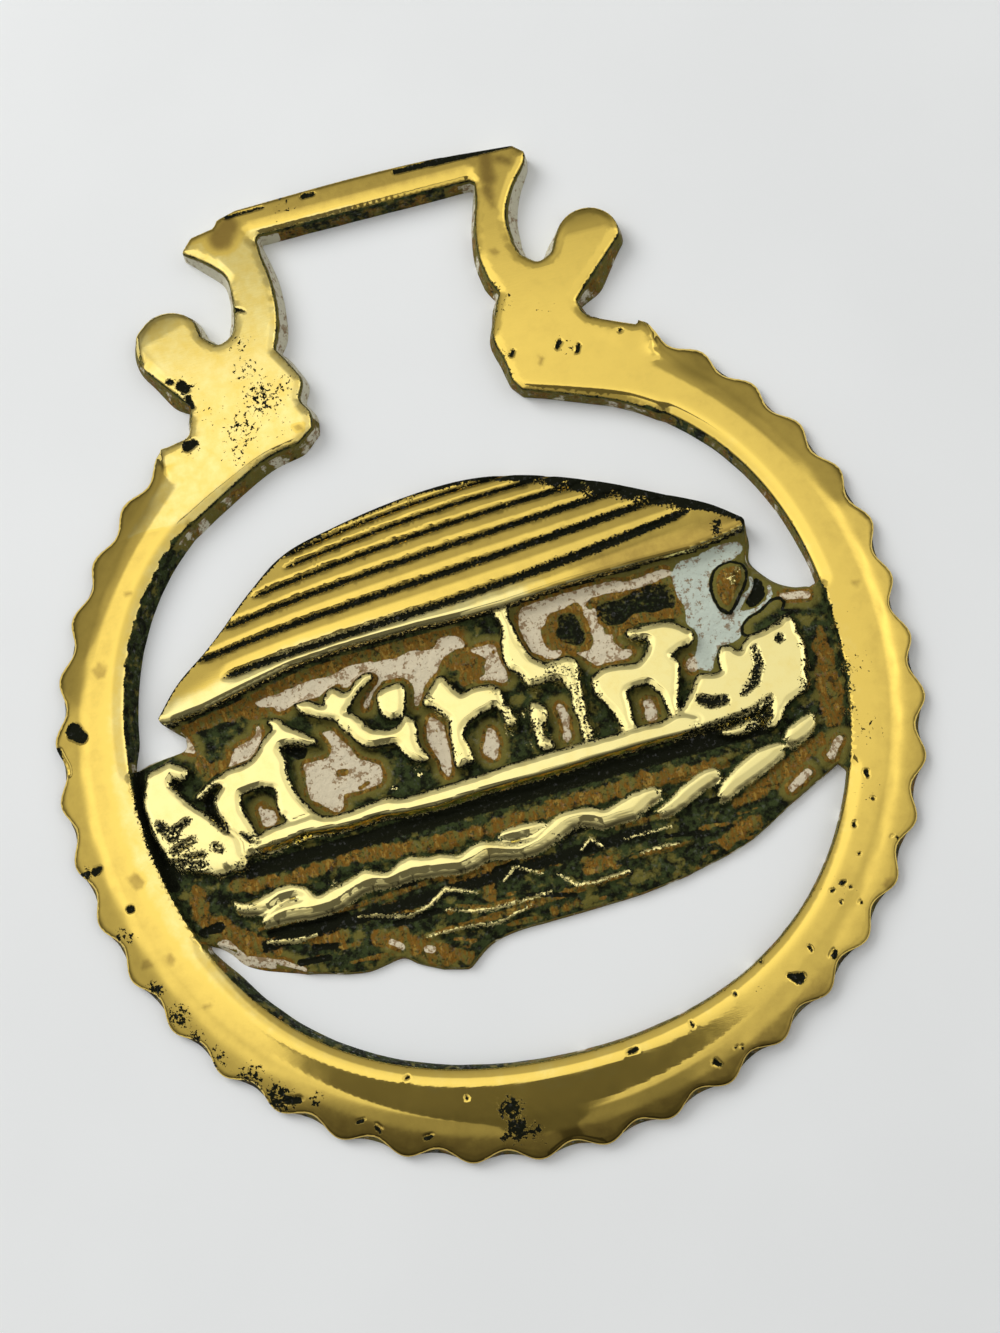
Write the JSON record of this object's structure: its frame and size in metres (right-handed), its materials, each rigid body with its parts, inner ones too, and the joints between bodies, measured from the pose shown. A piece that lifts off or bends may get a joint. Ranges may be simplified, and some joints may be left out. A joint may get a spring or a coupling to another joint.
{
  "type": "horse brass",
  "caption": "Cast brass harness pendant: scalloped ring with a strap hanger and an ark scene in relief across its middle.",
  "frame": {"origin": "centre of the ring, on the flat back", "axes": "+Z out of the relief front, +Y towards the hanger, +X to the viewer's right"},
  "size_m": [0.0778, 0.0923, 0.0026],
  "materials": {
    "brass": "polished high spots, dark patina in the ground"
  },
  "bodies": {
    "root": {"horse_brass": "brass"}
  },
  "joints": []
}
